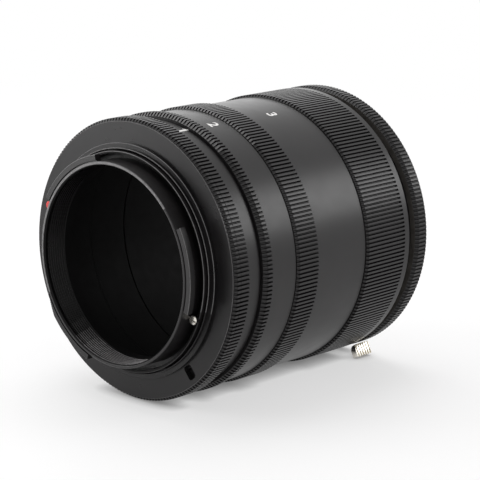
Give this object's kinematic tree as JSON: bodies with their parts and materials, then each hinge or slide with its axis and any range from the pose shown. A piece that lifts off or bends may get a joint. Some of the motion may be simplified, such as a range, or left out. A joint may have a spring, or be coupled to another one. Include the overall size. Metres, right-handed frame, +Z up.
{
  "type": "macro extension tube",
  "caption": "Black macro extension tube stack: threaded knurled tubes, a lobed camera bayonet, a bright lens bayonet plate and a silver release lever",
  "frame": {"origin": "on the optical axis, in the plane of the flange face that seats on the camera", "axes": "+Y along the optical axis toward the lens, +Z up as the stack lies in the picture, +X to its right seen from the camera side"},
  "size_m": [0.061, 0.069, 0.061],
  "materials": {
    "black_anodised": "satin black anodised",
    "bright_steel": "bright nickel plated steel",
    "dark_steel": "black oxide steel",
    "spring_steel": "polished spring steel",
    "chromed_brass": "satin chrome plate",
    "red_paint": "red filling paint"
  },
  "bodies": {
    "camera_adapter": {"camera_flange_ring": "black_anodised", "camera_bayonet": "black_anodised", "stop_screw": "bright_steel", "camera_index_mark": "red_paint", "bayonet_screws": "dark_steel"},
    "first_tube": {"tube_one": "black_anodised"},
    "second_tube": {"tube_two": "black_anodised"},
    "third_tube": {"tube_three": "black_anodised"},
    "lens_adapter": {"lens_adapter_body": "black_anodised", "rear_knurled_ring": "black_anodised", "lens_bayonet_plate": "chromed_brass", "plate_screws": "bright_steel", "lens_index_mark": "red_paint", "bayonet_spring_one": "spring_steel", "bayonet_spring_two": "spring_steel", "bayonet_spring_three": "spring_steel", "lever_spring": "spring_steel"},
    "release": {"release_lever": "bright_steel", "lock_pin": "bright_steel"}
  },
  "joints": [
    {"name": "unscrew_tube_one", "type": "hinge", "parent": "camera_adapter", "child": "first_tube", "pos_m": [0, 0.0017, 0], "axis": [0, 1, 0], "range_deg": [0, 1536]},
    {"name": "unscrew_tube_two", "type": "hinge", "parent": "first_tube", "child": "second_tube", "pos_m": [0, 0.0089, 0], "axis": [0, 1, 0], "range_deg": [0, 1536]},
    {"name": "unscrew_tube_three", "type": "hinge", "parent": "second_tube", "child": "third_tube", "pos_m": [0, 0.0189, 0], "axis": [0, 1, 0], "range_deg": [0, 1536]},
    {"name": "unscrew_lens_adapter", "type": "hinge", "parent": "third_tube", "child": "lens_adapter", "pos_m": [0, 0.0412, 0], "axis": [0, 1, 0], "range_deg": [0, 1536]},
    {"name": "pull_release_lever", "type": "slide", "parent": "lens_adapter", "child": "release", "axis": [0, -1, 0], "range_m": [0, 0.0013], "stiffness_N_per_m": 500, "springref_m": -0.002}
  ]
}
